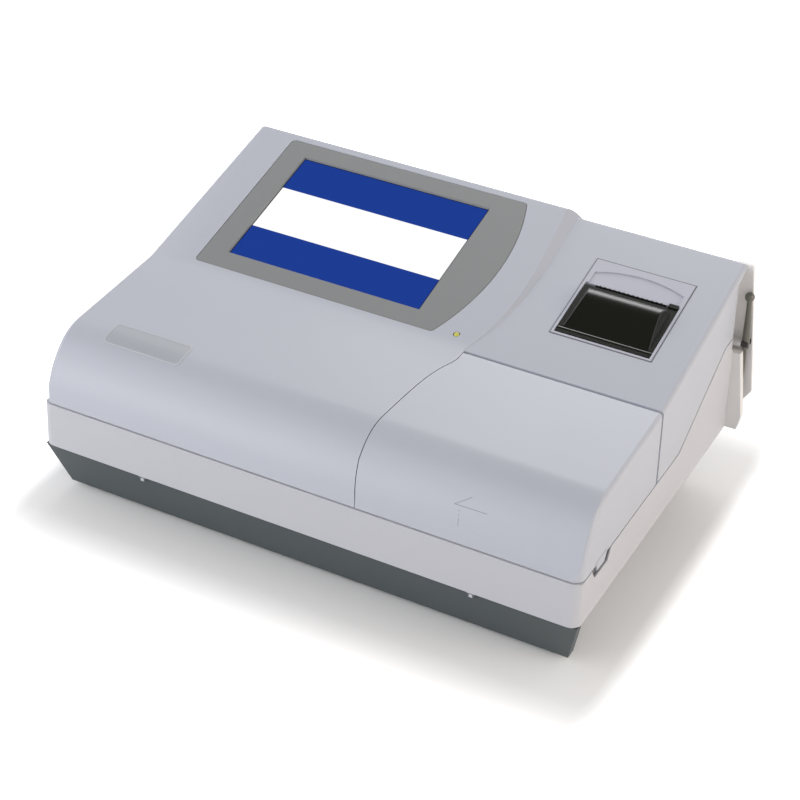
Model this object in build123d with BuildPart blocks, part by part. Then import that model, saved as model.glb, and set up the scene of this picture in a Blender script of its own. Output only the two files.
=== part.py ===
from build123d import *
import math
import os

os.makedirs("parts", exist_ok=True)

# Bench-top microplate reader.  Millimetres, +Z up, the operator stands on the -Y side.
# The origin is on the bench, under the middle of the whole instrument's outline.

# ------------------------------------------------------------------ driving dimensions
case_width = 460.0          # across both case halves at the front seam
case_depth = 330.0          # outside of the lower case, front to back
wall = 3.0                  # moulded wall of the case halves
foot_height = 4.0
pan_top = 47.3              # the dark pan ends and the pale lower case starts
seam_front = 86.5           # height of the seam of the case halves, front and sides
seam_rear = 133.5           # height of the same seam at the rear panel
seam_rise_start = 31.0      # where the seam leaves its front height, along Y
seam_rise_end = 127.0       # where it reaches its rear height
seam_step = 0.4             # the cover stands in from the lower case by this much
seam_gap = 0.6              # height of the shadow groove along the seam
side_draft = 0.0372         # the sides lean in by this much per mm of height
crease_y = -14.9            # line where the nose ends and the two slopes start
crease_z = 150.5
display_rear_z = 199.5      # top of the display slope at the rear
printer_rear_z = 193.6      # top of the printer slope at the rear
nose_toe = (-163.8, seam_front)
nose_knee = (-157.0, 116.0)
nose_brow = (-135.0, 141.3)
nose_knee_radius = 66.0
nose_brow_radius = 38.0
edge_radius = 3.5           # rounding of the cover's side edges
corner_radius = 9.0         # vertical corners of the lower case
door_gap = 0.6              # gap round the plate door
door_skin = 2.5
hinge_radius = 3.6          # outside radius of the door's rolled rear edge
hinge_pin_radius = 1.1
run_clearance = 0.06        # radial clearance of a running fit
seat_clearance = 0.02       # radial clearance of a pin pressed into its seat
deck_bottom = pan_top + wall
deck_thickness = 2.0
deck_top = deck_bottom + deck_thickness
plate_length = 127.76       # microplate footprint, by the SBS standard
plate_width = 85.48
plate_play = 0.42           # play round the plate in its nest, each side
carriage_x = 132.0          # centre line of the plate carriage
rail_radius = 4.0
rail_offset = 60.0          # from the carriage's centre line to each rail
rail_z = 66.0
beam_y = 19.0               # the light passes through the plate here
beam_z = 90.0
rear_y = case_depth / 2
half_width = case_width / 2
holder_reach = 245.4        # the stylus holder stands out to here at the right
display_slope = math.atan2(display_rear_z - crease_z, rear_y - crease_y)
printer_slope = math.atan2(printer_rear_z - crease_z, rear_y - crease_y)


def slope_plane(slope):
    """A plane on one of the inclined panels: local x is X, local y runs up the slope."""
    normal = (0, -math.sin(slope), math.cos(slope))
    return Plane(origin=(0, crease_y, crease_z), x_dir=(1, 0, 0), z_dir=normal)


display_plane = slope_plane(display_slope)
printer_plane = slope_plane(printer_slope)


def case_half_width(z):
    """Half width of the lower case at a height, with its draft."""
    return half_width - (z - seam_front) * side_draft


def cover_half_width(z):
    """Half width of the upper cover at a height, with its draft."""
    return case_half_width(z) - seam_step


# the pieces are drawn about the case's own middle and moved to the middle of the outline
centre_shift = (holder_reach - case_half_width(pan_top)) / 2


def finish(builder, name):
    """Move a finished piece to the shared origin, label it and write it out."""
    piece = builder.part.moved(Location((-centre_shift, 0, 0)))
    piece.label = name
    export_step(piece, "parts/" + name + ".step")


# ------------------------------------------------------------------ shared outlines
def side_profile(rear_z, inset):
    """Side outline of the cover: toe, knee and brow of the nose, crease, slope and rear."""
    floor_z = pan_top
    with BuildSketch(Plane.YZ) as profile:
        with BuildLine():
            Polyline(
                (nose_toe[0], floor_z),
                nose_toe,
                nose_knee,
                nose_brow,
                (crease_y, crease_z),
                (rear_y, rear_z),
                (rear_y, floor_z),
                close=True,
            )
        make_face()
        fillet(profile.vertices().sort_by_distance(nose_knee)[0], nose_knee_radius)
        fillet(profile.vertices().sort_by_distance(nose_brow)[0], nose_brow_radius)
        if inset:
            offset(amount=-inset, kind=Kind.INTERSECTION)
    return profile.sketch


def front_outline(inset):
    """Front view of the case's drafted sides."""
    low = pan_top - 10
    high = 230.0
    low_half = case_half_width(low) - inset
    high_half = case_half_width(high) - inset
    with BuildSketch(Plane.XZ) as outline:
        with BuildLine():
            Polyline((-low_half, low), (low_half, low), (high_half, high), (-high_half, high), close=True)
        make_face()
    return outline.sketch


def cover_blank(rear_z, inset=0.0):
    """Solid under one slope of the cover, over the full width, drafted at the sides."""
    with BuildPart() as blank:
        extrude(side_profile(rear_z, inset), amount=case_width, both=True)
        extrude(front_outline(seam_step + inset), amount=case_depth, both=True, mode=Mode.INTERSECT)
    return blank.part


def seam_prism(above):
    """Everything above, or below, the seam of the two case halves."""
    limit_z = 260.0 if above else 0.0
    far = case_depth
    with BuildPart() as prism:
        with BuildSketch(Plane.YZ):
            with BuildLine():
                Polyline(
                    (-far, seam_front),
                    (seam_rise_start, seam_front),
                    (seam_rise_end, seam_rear),
                    (far, seam_rear),
                    (far, limit_z),
                    (-far, limit_z),
                    close=True,
                )
            make_face()
        extrude(amount=case_width, both=True)
    return prism.part


def seam_groove():
    """The shadow groove that runs round the outside of the cover, just above the seam."""
    far = case_depth
    top_front = seam_front + seam_gap
    top_rear = seam_rear + seam_gap
    with BuildPart() as groove:
        with BuildSketch(Plane.YZ):
            with BuildLine():
                Polyline(
                    (-far, seam_front),
                    (seam_rise_start, seam_front),
                    (seam_rise_end, seam_rear),
                    (far, seam_rear),
                    (far, top_rear),
                    (seam_rise_end, top_rear),
                    (seam_rise_start, top_front),
                    (-far, top_front),
                    close=True,
                )
            make_face()
        extrude(amount=case_width, both=True)
        add(cover_blank(printer_rear_z, wall / 2), mode=Mode.SUBTRACT)
    return groove.part


def raised_side(back=0.0):
    """Left of the curved ridge on the display slope, its side a 30 degree ramp."""
    far = 400.0
    depth = 14.0
    ramp = 1.7
    with BuildPart() as region:
        for level in (-8.0, depth):
            shift = ramp * level - back
            with BuildSketch(display_plane.offset(-level)):
                with BuildLine():
                    ridge = Spline(
                        (66.5 + shift, far / 2),
                        (75.0 + shift, 88.0),
                        (71.0 + shift, 36.0),
                        (57.0 + shift, -8.0),
                    )
                    Polyline(ridge @ 1, (40.0 + shift, -40.0), (-far, -40.0), (-far, far / 2), ridge @ 0)
                make_face()
        loft(ruled=True)
    return region.part


def door_region(shift, rear):
    """Space of the plate door: right of a curve in plan and of a curve in front view."""
    far = 300.0
    with BuildPart() as region:
        with BuildSketch(Plane.XY):
            with BuildLine():
                edge = Spline(
                    (43.0 + shift, -far),
                    (43.1 + shift, -150.0),
                    (47.6 + shift, -90.0),
                    (57.8 + shift, -38.0),
                    (61.4 + shift, -25.0),
                    tangents=[(0, 1), (0, 1)],
                )
                Polyline(edge @ 1, (61.4 + shift, rear), (far, rear), (far, -far), edge @ 0)
            make_face()
        extrude(amount=300)
        with BuildSketch(Plane.XZ):
            with BuildLine():
                flare = Spline(
                    (51.2 + shift, 60.0),
                    (45.6 + shift, 100.0),
                    (43.0 + shift, 122.0),
                    (43.0 + shift, 300.0),
                    tangents=[(-0.12, 1), (0, 1)],
                )
                Polyline(flare @ 1, (far, 300.0), (far, 60.0), flare @ 0)
            make_face()
        extrude(amount=2 * far, both=True, mode=Mode.INTERSECT)
    return region.part


# ------------------------------------------------------------------ stylus recess, rear right
recess_floor = half_width - 13.0
recess_front = 143.0        # upper part of the recess starts here, along Y
post_front = 147.8          # front of the holder's post
wing_front = 161.4          # front of the holder's wing


def stylus_recess():
    """Upright recess in the right rear corner, open outwards, downwards and to the rear."""
    below = pan_top - 2
    with BuildPart() as recess:
        with BuildSketch(Plane.YZ.offset(recess_floor)):
            with BuildLine():
                Polyline(
                    (post_front - 0.2, below),
                    (post_front - 0.2, 119),
                    (recess_front, 124),
                    (recess_front, 184.0),
                    (wing_front - 0.2, 188.4),
                    (wing_front - 0.2, 210),
                    (rear_y + 5, 210),
                    (rear_y + 5, below),
                    close=True,
                )
            make_face()
        extrude(amount=30)
    return recess.part
# ------------------------------------------------------------------ lower case
fan_at = (60.0, 92.0)                    # seen from behind, so X runs the other way
inlet_at = (150.0, 76.0)
switch_at = (192.0, 76.0)
socket_recess = 2.0                      # the socket flanges are let into the rear wall by this much
port_places = ((-40.0, 80.0), (-85.0, 80.0))
post_places = GridLocations(150, 270, 3, 2).local_locations
deck_screw_places = GridLocations(200, 280, 3, 2).local_locations
case_screw_radius = 2.0
deck_screw_radius = 1.5
tongue_places = ((-138.7, pan_top - 1.8), (146.5, pan_top - 1.8))
notch = ((-144, seam_front), (-138, seam_front - 9), (-114, seam_front - 9), (-108, seam_front))
rear_wall = Plane(origin=(0, rear_y, 0), x_dir=(-1, 0, 0), z_dir=(0, 1, 0))


def lower_hollow():
    """Inside of the lower case, its sides as drafted as the outside."""
    with BuildPart() as hollow:
        with BuildSketch(Plane.XY.offset(deck_bottom)):
            RectangleRounded(2 * (case_half_width(pan_top) - wall), case_depth - 2 * wall, corner_radius - wall)
            # the corner that the stylus recess is cut into stays thick
            with Locations((half_width, rear_y)):
                Rectangle(32, 50, mode=Mode.SUBTRACT)
            # so does the rear wall behind the recessed sockets
            with Locations((-(inlet_at[0] + switch_at[0]) / 2, rear_y)):
                Rectangle(86, 2 * (wall + socket_recess), mode=Mode.SUBTRACT)
        extrude(amount=150)
        extrude(front_outline(wall), amount=case_depth, both=True, mode=Mode.INTERSECT)
    return hollow.part


with BuildPart() as lower_case:
    with BuildSketch(Plane.XY.offset(pan_top)):
        RectangleRounded(2 * case_half_width(pan_top), case_depth, corner_radius)
    extrude(amount=seam_rear - pan_top)
    extrude(front_outline(0), amount=case_depth, both=True, mode=Mode.INTERSECT)
    chamfer(lower_case.faces().sort_by(Axis.Z)[0].edges(), 0.8)
    add(lower_hollow(), mode=Mode.SUBTRACT)
    with BuildSketch(Plane.XY.offset(pan_top)):
        RectangleRounded(370, 256, 12)
    extrude(amount=wall, mode=Mode.SUBTRACT)
    add(seam_prism(above=True), mode=Mode.SUBTRACT)
    add(stylus_recess(), mode=Mode.SUBTRACT)
    with BuildSketch(Plane.XY.offset(pan_top)):
        with Locations(post_places):
            Circle(case_screw_radius + 0.1)
        with Locations(deck_screw_places):
            Circle(deck_screw_radius + 0.1)
    extrude(amount=wall, mode=Mode.SUBTRACT)
    # two small tongues that lap over the front of the pan
    with BuildSketch(Plane.XZ.offset(rear_y - 0.5)):
        with Locations(*tongue_places):
            Rectangle(7, 4)
    extrude(amount=-1.2)
    # finger notch under the door, right side
    with BuildSketch(Plane.YZ.offset(half_width + 1)):
        with BuildLine():
            Polyline(*notch, close=True)
        make_face()
    extrude(amount=-3.2, mode=Mode.SUBTRACT)
    # rear wall: fan slots, mains inlet, mains switch and the two data ports
    with BuildSketch(rear_wall):
        with Locations(fan_at):
            with GridLocations(7, 0, 7, 1):
                Rectangle(3.6, 46)
        with Locations(inlet_at):
            Rectangle(27.4, 19.9)
        with Locations(switch_at):
            Rectangle(16.0, 22.4)
        for place in port_places:
            with Locations(place):
                RectangleRounded(17.6, 9.2, 2)
    extrude(amount=-wall - socket_recess - 1, mode=Mode.SUBTRACT)
    with BuildSketch(rear_wall):
        with Locations(inlet_at):
            Rectangle(30.9, 23.4)
        with Locations(switch_at):
            Rectangle(22.0, 26.4)
    extrude(amount=-socket_recess, mode=Mode.SUBTRACT)
finish(lower_case, "lower_case")

# ------------------------------------------------------------------ upper cover
screen_at = (-80.2, 93.3)                # on the display plane
screen_size = (176.4, 130.8)
printer_at = (155.35, 93.3)              # on the printer plane
printer_size = (85.7, 95.6)
printer_gap = 0.4
led_at = (48.0, 14.0)
led_radius = 2.2


def bezel_outline(grow):
    """Outline of the display bezel: straight left side, bowed right side."""
    with BuildSketch(display_plane) as outline:
        with BuildLine():
            Polyline((28.5, 9.3), (-189.5, 9.3), (-189.5, 176.2), (34.0, 176.2))
            ThreePointArc((34.0, 176.2), (47.5, 106.0), (28.5, 9.3))
        make_face()
        fillet(outline.vertices(), 4.0)
        if grow:
            offset(amount=grow)
    return outline.sketch


def rounded_blank(rear_z):
    """Cover blank with its top and rear edges rounded."""
    with BuildPart() as blank:
        add(cover_blank(rear_z))
        sides = blank.faces().filter_by(lambda face: abs(face.normal_at().X) > 0.9)
        crest = [edge for edge in sides.edges() if edge.center().Z > pan_top + 5]
        crest = [edge for edge in crest if edge.center().Y < rear_y - 1]
        fillet(crest, edge_radius)
        fillet(blank.faces().sort_by(Axis.Y)[-1].edges().filter_by(Axis.X).sort_by(Axis.Z)[-1], edge_radius)
        # upright corners, whose rounding fades where the sides lean in
        with BuildSketch(Plane.XY.offset(pan_top - 10)):
            with Locations((0, (rear_y + nose_toe[0]) / 2)):
                RectangleRounded(2 * cover_half_width(seam_front), rear_y - nose_toe[0], corner_radius)
        extrude(amount=200, mode=Mode.INTERSECT)
    return blank.part


def raised_blank(rear_z, inset):
    """The display side alone, between the left side and the curved ridge."""
    source = cover_blank(rear_z, inset) if inset else rounded_blank(rear_z)
    with BuildPart() as raised:
        add(source)
        add(raised_side(inset * 1.8), mode=Mode.INTERSECT)
    return raised.part


def cover_hollow():
    """Inside of the upper cover under both slopes."""
    with BuildPart() as hollow:
        add(cover_blank(printer_rear_z, wall))
        add(raised_blank(display_rear_z, wall))
        with Locations((half_width, rear_y, 120)):
            Box(32, 50, 160, mode=Mode.SUBTRACT)
    return hollow.part


with BuildPart() as upper_cover:
    add(rounded_blank(printer_rear_z))
    # the left shoulder of the lower slope gives way to the display side
    with BuildSketch(display_plane.offset(-8)):
        with Locations((-200, 80)):
            Rectangle(200, 230)
    extrude(amount=40, mode=Mode.SUBTRACT)
    add(raised_blank(display_rear_z, 0))
    add(cover_hollow(), mode=Mode.SUBTRACT)
    add(seam_prism(above=False), mode=Mode.SUBTRACT)
    add(seam_groove(), mode=Mode.SUBTRACT)
    add(door_region(0, crease_y), mode=Mode.SUBTRACT)
    add(stylus_recess(), mode=Mode.SUBTRACT)
    # down-turned flange behind the door
    with BuildSketch(Plane.YZ.offset(68)):
        with Locations((crease_y + 1.2, 138.4)):
            Rectangle(2.4, 20)
    extrude(amount=156)
    extrude(bezel_outline(0.3), amount=-14, mode=Mode.SUBTRACT)
    with BuildSketch(printer_plane):
        with Locations(printer_at):
            Rectangle(printer_size[0] + printer_gap, printer_size[1] + printer_gap)
    extrude(amount=-12, mode=Mode.SUBTRACT)
    with BuildSketch(display_plane):
        with Locations(led_at):
            Circle(led_radius + 0.6)
    extrude(amount=-14, mode=Mode.SUBTRACT)
finish(upper_cover, "upper_cover")

# ------------------------------------------------------------------ plate door and its hinge
hinge_y = crease_y - door_gap - hinge_radius
hinge_z = crease_z + (nose_brow[1] - crease_z) / (nose_brow[0] - crease_y) * (hinge_y - crease_y) - hinge_radius
door_rear = crease_y - door_gap
knuckle_centres = (96.0, 196.0)
knuckle_width = 8.0
door_lug_width = 6.0
lug_gap = 0.5
door_rear_opening = 48.0                 # from here to the right side the door has no rear wall


def hinge_cylinder(radius, start, width):
    """A cylinder on the door's hinge axis."""
    with BuildPart() as barrel:
        with BuildSketch(Plane.YZ.offset(start)):
            with Locations((hinge_y, hinge_z)):
                Circle(radius)
        extrude(amount=width)
    return barrel.part


def door_blank():
    """The cover's nose right of the door seam, ending in a rounded rear edge."""
    with BuildPart() as blank:
        add(rounded_blank(printer_rear_z))
        add(door_region(door_gap, door_rear), mode=Mode.INTERSECT)
        with BuildSketch(Plane.XY.offset(pan_top - 20)):
            Rectangle(3 * case_width, 3 * case_depth)
        extrude(amount=seam_front + seam_gap + 20 - pan_top, mode=Mode.SUBTRACT)
        rear = blank.faces().filter_by(Axis.Y).sort_by(Axis.Y)[-1]
        top = rear.edges().filter_by(Axis.X).sort_by(Axis.Z)[-1]
        fillet(top, hinge_radius - 0.3)
    return blank.part


def door_hollow():
    """Inside of the door, up to its rolled rear edge."""
    with BuildPart() as hollow:
        add(cover_blank(printer_rear_z, door_skin))
        add(door_region(door_gap + door_skin, hinge_y - 4.0), mode=Mode.INTERSECT)
    return hollow.part


with BuildPart() as plate_door:
    add(door_blank())
    add(door_hollow(), mode=Mode.SUBTRACT)
    # open rear under the rolled edge
    with BuildSketch(Plane.YZ.offset(door_rear_opening)):
        with Locations((hinge_y + 1, (hinge_z + 0.4 + pan_top) / 2)):
            Rectangle(2 * hinge_radius + 6, hinge_z + 0.4 - pan_top)
    extrude(amount=cover_half_width(hinge_z) - door_skin - 1.5 - door_rear_opening, mode=Mode.SUBTRACT)
    for centre in knuckle_centres:
        pocket = knuckle_width + 2 * lug_gap
        add(hinge_cylinder(2.6, centre - pocket / 2, pocket), mode=Mode.SUBTRACT)
        for lug_start in (centre - pocket / 2 - door_lug_width, centre + pocket / 2):
            add(hinge_cylinder(2.9, lug_start, door_lug_width))
        pin_length = pocket + 2 * door_lug_width
        add(hinge_cylinder(hinge_pin_radius + run_clearance, centre - pin_length / 2 - 1, pin_length + 2),
            mode=Mode.SUBTRACT)
    # finger tab that hangs into the notch of the lower case
    with BuildSketch(Plane.YZ.offset(half_width - 2.0)) as tab:
        with BuildLine():
            Polyline((-137, seam_front + 3), (-133, seam_front - 6), (-119, seam_front - 6), (-115, seam_front + 3),
                     close=True)
        make_face()
    extrude(amount=1.8)
finish(plate_door, "plate_door")

with BuildPart() as door_hinge_pins:
    for centre in knuckle_centres:
        reach = knuckle_width + 2 * lug_gap + 2 * door_lug_width
        add(hinge_cylinder(hinge_pin_radius, centre - reach / 2, reach))
finish(door_hinge_pins, "door_hinge_pins")

with BuildPart() as door_hinge_bracket:
    with BuildSketch(Plane.YZ.offset(70)):
        with Locations((crease_y - 1.0, 126)):
            Rectangle(2, 25)
    extrude(amount=150)
    for centre in knuckle_centres:
        with BuildSketch(Plane.YZ.offset(centre - knuckle_width / 2)):
            with Locations((hinge_y, (hinge_z + 129) / 2)):
                Rectangle(1.8, hinge_z - 129)
            with Locations((hinge_y + 1.2, 133.0)):
                Rectangle(4.2, 8)
            with Locations((hinge_y, hinge_z)):
                Circle(2.3)
        extrude(amount=knuckle_width)
        add(hinge_cylinder(hinge_pin_radius + seat_clearance, centre - 10, 20), mode=Mode.SUBTRACT)
finish(door_hinge_bracket, "door_hinge_bracket")

# ------------------------------------------------------------------ base pan, feet and case screws
pan_front_top = -rear_y + 2.0
pan_front_bottom = -rear_y + 20.0
pan_rear = 158.0
pan_half = 196.0                         # the tray stands in from the case: lifting grips at the sides
fascia_half_top = half_width + 0.4
fascia_half_bottom = half_width - 10.0
fascia_thickness = 10.0
foot_radius = 9.0
foot_places = GridLocations(340, 240, 2, 2).local_locations
post_radius = 5.5

with BuildPart() as base_pan:
    with BuildSketch(Plane.YZ):
        with BuildLine():
            Polyline((pan_front_top, pan_top), (pan_front_bottom, foot_height), (pan_rear, foot_height),
                     (pan_rear, pan_top), close=True)
        make_face()
    extrude(amount=pan_half, both=True)
    fillet(base_pan.edges().filter_by(Axis.Z), 8)
    with BuildSketch(Plane.YZ):
        with BuildLine():
            Polyline((pan_front_top + wall, pan_top), (pan_front_bottom + wall, foot_height + wall),
                     (pan_rear - wall, foot_height + wall), (pan_rear - wall, pan_top), close=True)
        make_face()
    extrude(amount=pan_half - wall, both=True, mode=Mode.SUBTRACT)
    # front fascia as wide as the case, its ends leaning in
    with BuildPart(mode=Mode.PRIVATE) as fascia:
        with BuildSketch(Plane.YZ):
            with BuildLine():
                Polyline((pan_front_top, pan_top), (pan_front_bottom, foot_height),
                         (pan_front_bottom + fascia_thickness, foot_height),
                         (pan_front_top + fascia_thickness, pan_top), close=True)
            make_face()
        extrude(amount=half_width + 1, both=True)
        with BuildSketch(Plane.XZ):
            with BuildLine():
                Polyline((-fascia_half_bottom, foot_height), (fascia_half_bottom, foot_height),
                         (fascia_half_top, pan_top), (-fascia_half_top, pan_top), close=True)
            make_face()
            Rectangle(2 * pan_half - 2, 200, mode=Mode.SUBTRACT)
        extrude(amount=case_depth, both=True, mode=Mode.INTERSECT)
    add(fascia.part)
    with BuildSketch(Plane.XY.offset(foot_height)):
        with Locations(post_places):
            Circle(post_radius)
    extrude(amount=pan_top - foot_height)
    with BuildSketch(Plane.XY.offset(foot_height)):
        with Locations(post_places):
            Circle(case_screw_radius + 0.1)
        with GridLocations(0, 9, 1, 9):
            Rectangle(90, 3.6)
    extrude(amount=pan_top, mode=Mode.SUBTRACT)
    with BuildSketch(Plane.XY.offset(foot_height)):
        with Locations(foot_places):
            Circle(foot_radius + 0.2)
    extrude(amount=1.2, mode=Mode.SUBTRACT)
finish(base_pan, "base_pan")

with BuildPart() as rubber_feet:
    with BuildSketch():
        with Locations(foot_places):
            Circle(foot_radius)
    extrude(amount=foot_height + 1.2)
    chamfer(rubber_feet.faces().group_by(Axis.Z)[0].edges(), 1.2)
finish(rubber_feet, "rubber_feet")

with BuildPart() as case_screws:
    with BuildSketch(Plane.XY.offset(foot_height)):
        with Locations(post_places):
            Circle(case_screw_radius)
    extrude(amount=deck_bottom - foot_height - 0.3)
    with BuildSketch(Plane.XY.offset(foot_height - 2.2)):
        with Locations(post_places):
            Circle(3.6)
    extrude(amount=2.2)
    with BuildSketch(Plane.XY.offset(foot_height - 2.2)):
        with Locations(post_places):
            Rectangle(4.4, 0.9)
            Rectangle(0.9, 4.4)
    extrude(amount=1.1, mode=Mode.SUBTRACT)
finish(case_screws, "case_screws")

# ------------------------------------------------------------------ metal deck
motor_y = 104.0
belt_x = 55.0
idler_y = -138.0
fibre_radius = 4.5
fibre_drop_x = 26.0
pulley_pitch_radius = 8.0
motor_pilot_radius = 11.0

with BuildPart() as chassis_deck:
    with BuildSketch(Plane.XY.offset(deck_bottom)):
        RectangleRounded(424, 300, 6)
        with Locations((belt_x, motor_y)):
            Circle(motor_pilot_radius + 0.1, mode=Mode.SUBTRACT)
        with Locations((fibre_drop_x, beam_y), (carriage_x, beam_y)):
            Circle(fibre_radius + 0.6, mode=Mode.SUBTRACT)
        with Locations(deck_screw_places):
            Circle(deck_screw_radius + 0.1, mode=Mode.SUBTRACT)
        with Locations((-60, 100)):
            with GridLocations(0, 8, 1, 6):
                Rectangle(60, 3.2, mode=Mode.SUBTRACT)
    extrude(amount=deck_thickness)
finish(chassis_deck, "chassis_deck")

with BuildPart() as deck_screws:
    with BuildSketch(Plane.XY.offset(pan_top + 0.3)):
        with Locations(deck_screw_places):
            Circle(deck_screw_radius)
    extrude(amount=deck_top - pan_top - 0.3)
    with BuildSketch(Plane.XY.offset(deck_top)):
        with Locations(deck_screw_places):
            Circle(2.9)
    extrude(amount=1.8)
finish(deck_screws, "deck_screws")

# ------------------------------------------------------------------ plate chamber
chamber_left = 36.0
chamber_skin = 2.5
chamber_floor_top = deck_top + 2.0
bulkhead_y = -22.0
bulkhead_top = 112.5
bulkhead_right = 221.5

with BuildPart() as plate_chamber:
    with BuildSketch(Plane.XY.offset(deck_top)):
        with Locations(((chamber_left + 226.4) / 2, (bulkhead_y + chamber_skin - 161.4) / 2)):
            Rectangle(226.4 - chamber_left, bulkhead_y + chamber_skin + 161.4)
        with Locations((200, -140)):
            Circle(3.4, mode=Mode.SUBTRACT)
    extrude(amount=2)
    with BuildSketch(Plane.YZ.offset(chamber_left)):
        with Locations(((bulkhead_y + chamber_skin - 161.4) / 2, 104)):
            Rectangle(bulkhead_y + chamber_skin + 161.4, 100)
    extrude(amount=chamber_skin)
    with BuildSketch(Plane.XZ.offset(-bulkhead_y)):
        with Locations(((chamber_left + bulkhead_right) / 2, (deck_top + bulkhead_top) / 2)):
            Rectangle(bulkhead_right - chamber_left, bulkhead_top - deck_top)
        with Locations((126, (chamber_floor_top + 95) / 2)):
            RectangleRounded(164, 95 - chamber_floor_top, 3, mode=Mode.SUBTRACT)
    extrude(amount=-chamber_skin)
    add(cover_blank(printer_rear_z, wall + 0.5), mode=Mode.INTERSECT)
    with BuildSketch():
        RectangleRounded(case_width - 2 * wall - 1, case_depth - 2 * wall - 1, corner_radius - wall)
    extrude(amount=250, mode=Mode.INTERSECT)
finish(plate_chamber, "plate_chamber")

# ------------------------------------------------------------------ plate carriage on its rails
carriage_size = (104.0, 142.0)
carriage_y = -86.0
carriage_low = 72.0
carriage_seat = 74.5
carriage_high = 82.0
lug_reach = 54.0
bush_radius = 5.2
lug_places = [(carriage_x + side * rail_offset, carriage_y + end * lug_reach) for side in (-1, 1) for end in (-1, 1)]

with BuildPart() as plate_carriage:
    with BuildSketch(Plane.XY.offset(carriage_low)):
        with Locations((carriage_x, carriage_y)):
            RectangleRounded(*carriage_size, 5)
            Rectangle(plate_width - 9, plate_length - 9, mode=Mode.SUBTRACT)
    extrude(amount=carriage_high - carriage_low)
    with BuildSketch(Plane.XY.offset(carriage_seat)):
        with Locations((carriage_x, carriage_y)):
            RectangleRounded(plate_width + 2 * plate_play, plate_length + 2 * plate_play, 3)
            # finger cut-outs at both long sides
            RectangleRounded(carriage_size[0] + 4, 26, 3)
    extrude(amount=20, mode=Mode.SUBTRACT)
    for lug_x, lug_y in lug_places:
        side = 1 if lug_x > carriage_x else -1
        with BuildSketch(Plane.XY.offset(rail_z - 6)):
            with Locations((lug_x, lug_y)):
                Rectangle(13, 20)
        extrude(amount=12)
        with BuildSketch(Plane.XY.offset(carriage_low)):
            with Locations((lug_x - side * 7, lug_y)):
                Rectangle(27, 20)
        extrude(amount=2.5)
    with BuildSketch(Plane.XZ):
        with Locations((carriage_x - rail_offset, rail_z), (carriage_x + rail_offset, rail_z)):
            Circle(bush_radius + seat_clearance)
    extrude(amount=200, mode=Mode.SUBTRACT)
finish(plate_carriage, "plate_carriage")

with BuildPart() as carriage_bushes:
    for lug_x, lug_y in lug_places:
        with BuildSketch(Plane.XZ.offset(-lug_y - 10)):
            with Locations((lug_x, rail_z)):
                Circle(bush_radius)
                Circle(rail_radius + run_clearance, mode=Mode.SUBTRACT)
        extrude(amount=20)
finish(carriage_bushes, "carriage_bushes")

with BuildPart() as guide_rails:
    with BuildSketch(Plane.XZ.offset(156)):
        with Locations((carriage_x - rail_offset, rail_z), (carriage_x + rail_offset, rail_z)):
            Circle(rail_radius)
    extrude(amount=-305)
finish(guide_rails, "guide_rails")

with BuildPart() as rail_supports:
    for support_y, support_floor in ((-157.5, chamber_floor_top), (143.0, deck_top)):
        with BuildSketch(Plane.XZ.offset(-support_y)):
            for rail_x in (carriage_x - rail_offset, carriage_x + rail_offset):
                with Locations((rail_x, (support_floor + rail_z + 6) / 2)):
                    Rectangle(15, rail_z + 6 - support_floor)
                with Locations((rail_x, rail_z)):
                    Circle(rail_radius + seat_clearance, mode=Mode.SUBTRACT)
        extrude(amount=-5.5)
finish(rail_supports, "rail_supports")

# ------------------------------------------------------------------ belt drive of the carriage
belt_low = 58.0
belt_width = 6.0
belt_inner = 7.4
belt_outer = 8.6


def belt_pulley(centre_y, bore):
    """Flanged pulley with tooth grooves."""
    with BuildPart() as pulley:
        with BuildSketch(Plane.XY.offset(belt_low - 1.5)):
            with Locations((belt_x, centre_y)):
                Circle(9.3)
        extrude(amount=belt_width + 3)
        with BuildSketch(Plane.XY.offset(belt_low - 0.5)):
            with Locations((belt_x, centre_y)):
                Circle(12)
                Circle(belt_inner - 0.3, mode=Mode.SUBTRACT)
                with PolarLocations(belt_inner - 0.3, 16):
                    Rectangle(1.6, 1.4)
        extrude(amount=belt_width + 1, mode=Mode.SUBTRACT)
        with BuildSketch(Plane.XY.offset(belt_low - 3)):
            with Locations((belt_x, centre_y)):
                Circle(bore)
        extrude(amount=20, mode=Mode.SUBTRACT)
    return pulley.part


with BuildPart() as drive_pulley:
    add(belt_pulley(motor_y, 2.5 + seat_clearance))
finish(drive_pulley, "drive_pulley")

with BuildPart() as motor_shaft:
    with BuildSketch(Plane.XY.offset(24)):
        with Locations((belt_x, motor_y)):
            Circle(2.5)
    extrude(amount=42)
finish(motor_shaft, "motor_shaft")

with BuildPart() as idler_pulley:
    add(belt_pulley(idler_y, 2.5 + run_clearance))
finish(idler_pulley, "idler_pulley")

with BuildPart() as idler_post:
    with BuildSketch(Plane.XY.offset(chamber_floor_top)):
        with Locations((belt_x, idler_y)):
            Circle(2.5)
    extrude(amount=12.2)
    with BuildSketch(Plane.XY.offset(chamber_floor_top)):
        with Locations((belt_x, idler_y)):
            Circle(5)
    extrude(amount=1.8)
finish(idler_post, "idler_post")

with BuildPart() as drive_belt:
    with BuildSketch(Plane.XY.offset(belt_low)):
        with Locations((belt_x, (motor_y + idler_y) / 2)):
            SlotCenterToCenter(motor_y - idler_y, 2 * belt_outer, rotation=90)
            SlotCenterToCenter(motor_y - idler_y, 2 * belt_inner, rotation=90, mode=Mode.SUBTRACT)
    extrude(amount=belt_width)
finish(drive_belt, "drive_belt")

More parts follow.
